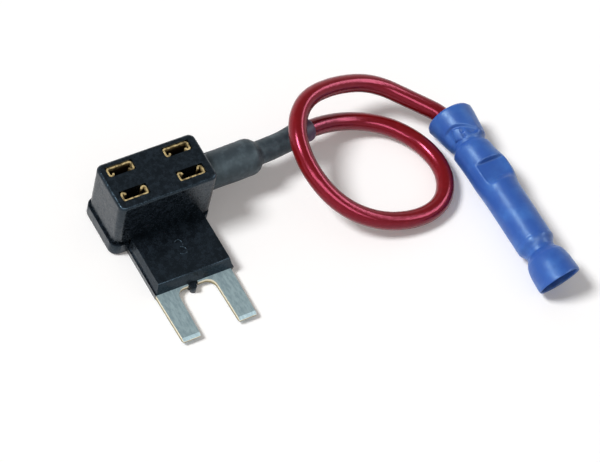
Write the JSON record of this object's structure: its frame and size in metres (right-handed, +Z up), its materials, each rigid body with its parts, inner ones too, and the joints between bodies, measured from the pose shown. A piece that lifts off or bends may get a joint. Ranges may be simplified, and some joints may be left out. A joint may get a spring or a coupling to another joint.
{
  "type": "blade fuse tap",
  "caption": "Plug-in fuse tap: black block with blade slots on top, flat blades at its foot and a short looped wire that ends in a closed-barrel splice.",
  "frame": {"origin": "on the underside of the base, under the centre of the four blade slots", "axes": "+Z up out of the slots, +X along the wire's exit from the block, the plug-in blades point to -Y"},
  "size_m": [0.0545, 0.038, 0.0115],
  "materials": {
    "housing_black": "satin moulded",
    "tinned_brass": "tin plated",
    "copper": "bare strands",
    "wire_red": "glossy",
    "sleeve_black": "satin",
    "splice_blue": "soft gloss",
    "barrel_tin": "tin plated"
  },
  "bodies": {
    "root": {"housing_top": "housing_black", "housing_base": "housing_black", "supply_terminal": "tinned_brass", "output_terminal": "tinned_brass", "tap_terminal": "tinned_brass", "conductor_end_tap": "copper", "red_wire": "wire_red", "shrink_sleeve": "sleeve_black", "splice_sleeve": "splice_blue", "splice_barrel": "barrel_tin", "conductor_end_splice": "copper"}
  },
  "joints": []
}
